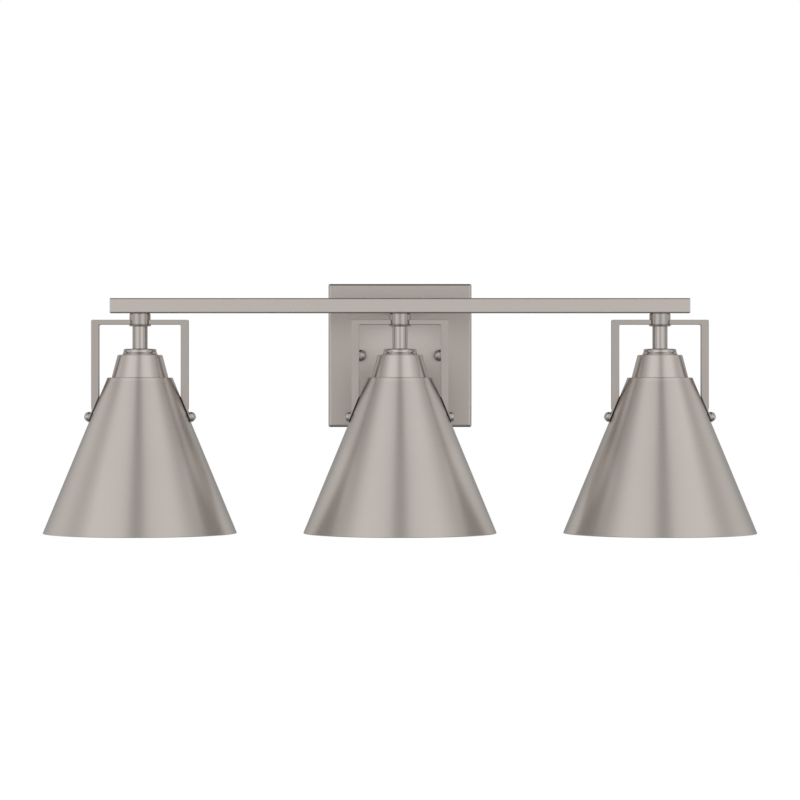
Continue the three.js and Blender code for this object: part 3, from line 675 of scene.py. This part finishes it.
    # screw shell of the socket, rolled thread
    pitch = 3.629
    segs, per = 96, 12
    z0, z1 = -46.4, -17.0
    rows = int((z1 - z0) / pitch * per)
    verts, faces = [], []
    for layer, base in ((0, 13.85), (1, 13.5)):
        for i in range(rows + 1):
            z = z0 + (z1 - z0) * i / rows
            fade = min(1.0, (z - z0) / 1.5, (z1 - z) / 1.5)
            for k in range(segs):
                a = 2 * math.pi * k / segs
                r = base - 0.42 * fade * (0.5 + 0.5 * math.cos(2 * math.pi * z / pitch - a))
                verts.append((x0 + r * math.cos(a), LAMP_Y + r * math.sin(a), z))
    block = (rows + 1) * segs
    for i in range(rows):
        for k in range(segs):
            j = (k + 1) % segs
            faces.append((i * segs + k, i * segs + j, (i + 1) * segs + j, (i + 1) * segs + k))
            faces.append((block + i * segs + j, block + i * segs + k, block + (i + 1) * segs + k, block + (i + 1) * segs + j))
    for k in range(segs):
        j = (k + 1) % segs
        faces.append((j, k, block + k, block + j))
        faces.append((rows * segs + k, rows * segs + j, block + rows * segs + j, block + rows * segs + k))
    dress(put(f"socket_shell_{side}_rolled", verts, faces, (x0, LAMP_Y, 0), 60.0), "brass", "fixture", "brass", f"socket_shell_{side}")
    dress(lathe(f"socket_contact_{side}_tab", rounded([(0.0, -18.0, 0), (2.6, -18.0, 0.5), (4.5, -16.5, 0.4), (4.5, -15.75, 0.1), (0.0, -15.75, 0)], closed=False), at, 48), "brass", "fixture", "brass", f"socket_contact_{side}")
    # shade ring with finger grips
    segs = 144
    prof = rounded([(17.0, -22.0, 0.3), (22.0, -22.0, 0.5), (22.0, -28.2, 0.7), (17.0, -28.2, 0.5)], n=4)
    verts, faces = [], []
    for r, z in prof:
        for k in range(segs):
            a = 2 * math.pi * k / segs
            grip = 0.5 * max(0.0, math.cos(18 * a)) ** 2 if r > 20.5 else 0.0
            verts.append((x0 + (r - grip) * math.cos(a), LAMP_Y + (r - grip) * math.sin(a), z))
    for i in range(len(prof)):
        ii = (i + 1) % len(prof)
        for k in range(segs):
            j = (k + 1) % segs
            faces.append((i * segs + k, i * segs + j, ii * segs + j, ii * segs + k))
    dress(put(f"shade_ring_{side}_grip", verts, faces, (x0, LAMP_Y, -25), 40.0), "phenolic", f"shade_ring_{side}", "phenolic", f"shade_ring_{side}")

    # bulb
    dress(lathe(f"bulb_tip_{side}_insulator", rounded([(0.0, -18.6, 0), (4.2, -18.9, 0.6), (8.9, -23.1, 0.6), (8.9, -24.0, 0.2), (0.0, -24.0, 0)], closed=False), at, 64), "insulator", f"bulb_carrier_{side}", "black_glass", f"bulb_tip_{side}")
    dress(lathe(f"bulb_tip_{side}_contact", rounded([(0.0, -18.3, 0), (2.6, -18.4, 0.6), (3.4, -19.1, 0.3), (3.0, -19.6, 0.1), (0.0, -19.6, 0)], closed=False), at, 48), "alu", f"bulb_carrier_{side}", "bulb_aluminium")
    z0, z1 = -45.0, -25.0
    rows = int((z1 - z0) / pitch * per)
    prof_rows = []
    verts, faces = [], []
    segs = 96
    for i in range(rows + 1):
        z = z0 + (z1 - z0) * i / rows
        fade = max(0.0, min(1.0, (z - z0 - 1.0) / 1.5, (z1 - z) / 1.2))
        for k in range(segs):
            a = 2 * math.pi * k / segs
            r = 12.98 - 0.75 * fade * (0.5 - 0.5 * math.cos(2 * math.pi * z / pitch - a))
            verts.append((x0 + r * math.cos(a), LAMP_Y + r * math.sin(a), z))
    for r, z in rounded([(12.2, -24.6, 0.0), (11.4, -23.8, 0.3), (9.4, -23.6, 0.1), (9.4, -24.2, 0.0), (11.2, -24.4, 0.0), (11.9, -25.4, 0.0), (11.9, -45.0, 0.0)], closed=False):
        for k in range(segs):
            a = 2 * math.pi * k / segs
            verts.append((x0 + r * math.cos(a), LAMP_Y + r * math.sin(a), z))
    total = len(verts) // segs
    for i in range(total):
        ii = (i + 1) % total
        for k in range(segs):
            j = (k + 1) % segs
            faces.append((i * segs + k, i * segs + j, ii * segs + j, ii * segs + k))
    dress(put(f"bulb_base_{side}_rolled", verts, faces, (x0, LAMP_Y, -35), 60.0), "alu", f"bulb_{side}", "bulb_aluminium", f"bulb_base_{side}")
    # smooth A-shape globe: control points blended with a Catmull-Rom curve
    ctrl = [(12.3, -45.0), (12.55, -48.0), (14.0, -56.0), (18.0, -65.5), (23.0, -73.5), (27.2, -81.0), (29.6, -89.0), (29.9, -96.5), (28.4, -105.0), (24.8, -113.0), (18.6, -120.2), (10.0, -125.3), (0.0, -127.0)]
    curve = []
    for i in range(len(ctrl) - 1):
        p0 = Vector(ctrl[i - 1]) if i else Vector(ctrl[0]) * 2 - Vector(ctrl[1])
        p1, p2 = Vector(ctrl[i]), Vector(ctrl[i + 1])
        p3 = Vector(ctrl[i + 2]) if i + 2 < len(ctrl) else Vector((-ctrl[-2][0], ctrl[-2][1]))
        for k in range(6):
            t = k / 6
            q = 0.5 * ((2 * p1) + (p2 - p0) * t + (2 * p0 - 5 * p1 + 4 * p2 - p3) * t * t + (3 * p1 - p0 - 3 * p2 + p3) * t ** 3)
            curve.append((max(q.x, 0.0), q.y))
    curve.append((0.0, -127.0))
    inner = [(max(r - 0.8, 0.0), z if r > 2 else z + 0.8) for r, z in curve[:-1]][::3]
    inner = [(r, z) for r, z in inner if r > 1.5] + [(0.0, -126.2)]
    prof = list(reversed(inner)) + curve
    dress(lathe(f"bulb_glass_{side}_globe", prof, at, 128, closed=False, sharp=50.0), "bulb", f"bulb_{side}", "frosted_glass", f"bulb_glass_{side}")

# ------------------------------------------------------------------ stage, camera, light
bpy.ops.mesh.primitive_plane_add(size=12.0, location=(0, 0, -0.62))
floor = bpy.context.object
floor.name = "floor"
fm, nt, bsdf = new_mat("pale_floor")
bsdf.inputs["Base Color"].default_value = (0.93, 0.93, 0.92, 1)
bsdf.inputs["Roughness"].default_value = 0.9
bsdf.inputs["Emission Color"].default_value = (1, 1, 0.995, 1)
bsdf.inputs["Emission Strength"].default_value = 0.62
floor.data.materials.append(fm)
floor.visible_glossy = False

D = 2400.0
cam_data = bpy.data.cameras.new("camera")
cam = bpy.data.objects.new("camera", cam_data)
bpy.context.scene.collection.objects.link(cam)
cam.location = (0.0, (LAMP_Y - D) * MM, -39.5 * MM)
cam.rotation_euler = (math.radians(90), 0, 0)
cam_data.sensor_width = 36.0
cam_data.lens = 18.0 / (342.0 / D)
cam_data.clip_start, cam_data.clip_end = 0.05, 60
bpy.context.scene.camera = cam

BASE, LOBE, FILL, BACK, SIDE = 0.45, 0.43, 0.64, 0.24, 0.30
world = bpy.data.worlds.new("studio")
bpy.context.scene.world = world
world.use_nodes = True
nt = world.node_tree
nt.nodes.clear()
tc = nt.nodes.new("ShaderNodeTexCoord")
sep = nt.nodes.new("ShaderNodeSeparateXYZ")
link(nt, tc.outputs["Generated"], sep.inputs[0])
X, Y, Z = sep.outputs
az = math_node(nt, "ABSOLUTE", math_node(nt, "ARCTAN2", X, math_node(nt, "MULTIPLY", Y, -1.0)))


def smooth(value, lo, hi, a, b):
    n = nt.nodes.new("ShaderNodeMapRange")
    n.interpolation_type = "SMOOTHSTEP"
    n.inputs[1].default_value, n.inputs[2].default_value = lo, hi
    n.inputs[3].default_value, n.inputs[4].default_value = a, b
    link(nt, value, n.inputs[0])
    return n.outputs[0]


rad = math.radians


def times(*values):
    out = values[0]
    for v in values[1:]:
        out = math_node(nt, "MULTIPLY", out, v)
    return out


def sine(deg):
    return math.sin(rad(deg))


# two soft boxes high at the sides of the camera, a gap between them, and a low fill at the camera
lobe = times(smooth(az, rad(3), rad(17), 0.0, 1.0), smooth(az, rad(58), rad(92), 1.0, 0.0), smooth(Z, sine(14), sine(28), 0.0, 1.0), smooth(Z, sine(50), sine(62), 1.0, 0.0))
flat = math_node(nt, "ABSOLUTE", Z)
fill = times(smooth(az, rad(6), rad(22), 0.5, 1.2), smooth(az, rad(44), rad(68), 1.0, 0.0), smooth(flat, sine(15), sine(28), 1.0, 0.0))
side = times(smooth(az, rad(52), rad(76), 0.0, 1.0), smooth(az, rad(98), rad(122), 1.0, 0.0), smooth(flat, sine(8), sine(20), 1.0, 0.0))
back = times(smooth(az, rad(84), rad(124), 0.0, 1.0), smooth(az, rad(150), rad(178), 1.0, 0.55), smooth(flat, sine(30), sine(46), 1.0, 0.0))
# dark overhead, underfoot and high behind, only in a strip above and below the middle, so that level edges read as dark lines
strip = smooth(math_node(nt, "ABSOLUTE", X), 0.14, 0.36, 1.0, 0.0)
above = times(strip, smooth(Z, sine(50), sine(63), 0.0, 0.78))
below = smooth(Z, sine(-56), sine(-32), 0.62, 0.0)
behind = times(strip, smooth(az, rad(95), rad(125), 0.0, 0.75), smooth(flat, sine(38), sine(54), 0.0, 1.0))
ends = times(math_node(nt, "SUBTRACT", 1.0, above), math_node(nt, "SUBTRACT", 1.0, below), math_node(nt, "SUBTRACT", 1.0, behind))
level = math_node(nt, "ADD", math_node(nt, "MULTIPLY", ends, BASE), math_node(nt, "ADD", math_node(nt, "MULTIPLY", lobe, LOBE), math_node(nt, "ADD", math_node(nt, "MULTIPLY", fill, FILL), math_node(nt, "ADD", math_node(nt, "MULTIPLY", side, SIDE), math_node(nt, "MULTIPLY", back, BACK)))))
lp = nt.nodes.new("ShaderNodeLightPath")
mixn = nt.nodes.new("ShaderNodeMix")
mixn.data_type = "FLOAT"
link(nt, lp.outputs["Is Camera Ray"], mixn.inputs[0])
link(nt, level, mixn.inputs[2])
mixn.inputs[3].default_value = 1.0
bg = nt.nodes.new("ShaderNodeBackground")
bg.inputs[0].default_value = (1.0, 1.0, 1.0, 1)
link(nt, mixn.outputs[0], bg.inputs[1])
out = nt.nodes.new("ShaderNodeOutputWorld")
link(nt, bg.outputs[0], out.inputs[0])

def card(name, centre, toward, width, height, radiance):
    """A soft reflector card: a one-sided area light that the camera doesn't see."""
    data = bpy.data.lights.new(name, "AREA")
    data.shape = "RECTANGLE"
    data.size, data.size_y = width, height
    data.energy = radiance * math.pi * width * height
    ob = bpy.data.objects.new(name, data)
    ob.location = centre
    ob.rotation_euler = (Vector(centre) - Vector(toward)).to_track_quat("Z", "Y").to_euler()
    ob.visible_camera = False
    bpy.context.scene.collection.objects.link(ob)
    return ob


card("card_right", (0.55, -0.105, 0.06), (0.0, -0.105, 0.06), 0.51, 0.72, 0.09)
card("card_left", (-0.42, -0.102, -0.12), (0.0, -0.102, -0.12), 0.355, 0.40, 0.13)
for at, to in ((-111.1, -222.25), (-111.1, 0.0), (111.1, 0.0), (111.1, 222.25)):
    card(f"card_gap_{'west' if to < at else 'east'}_of_{'left' if at < 0 else 'right'}", (at / 1000, -0.112, -0.100), (to / 1000, -0.112, -0.100), 0.105, 0.100, 0.115)
card("card_plate", (0.0, -0.100, 0.012), (0.0, 0.0, 0.012), 0.062, 0.034, 0.62)

scene = bpy.context.scene
scene.view_settings.view_transform = "Standard"
scene.view_settings.look = "None"
scene.view_settings.exposure = 0.0
scene.view_settings.gamma = 1.0
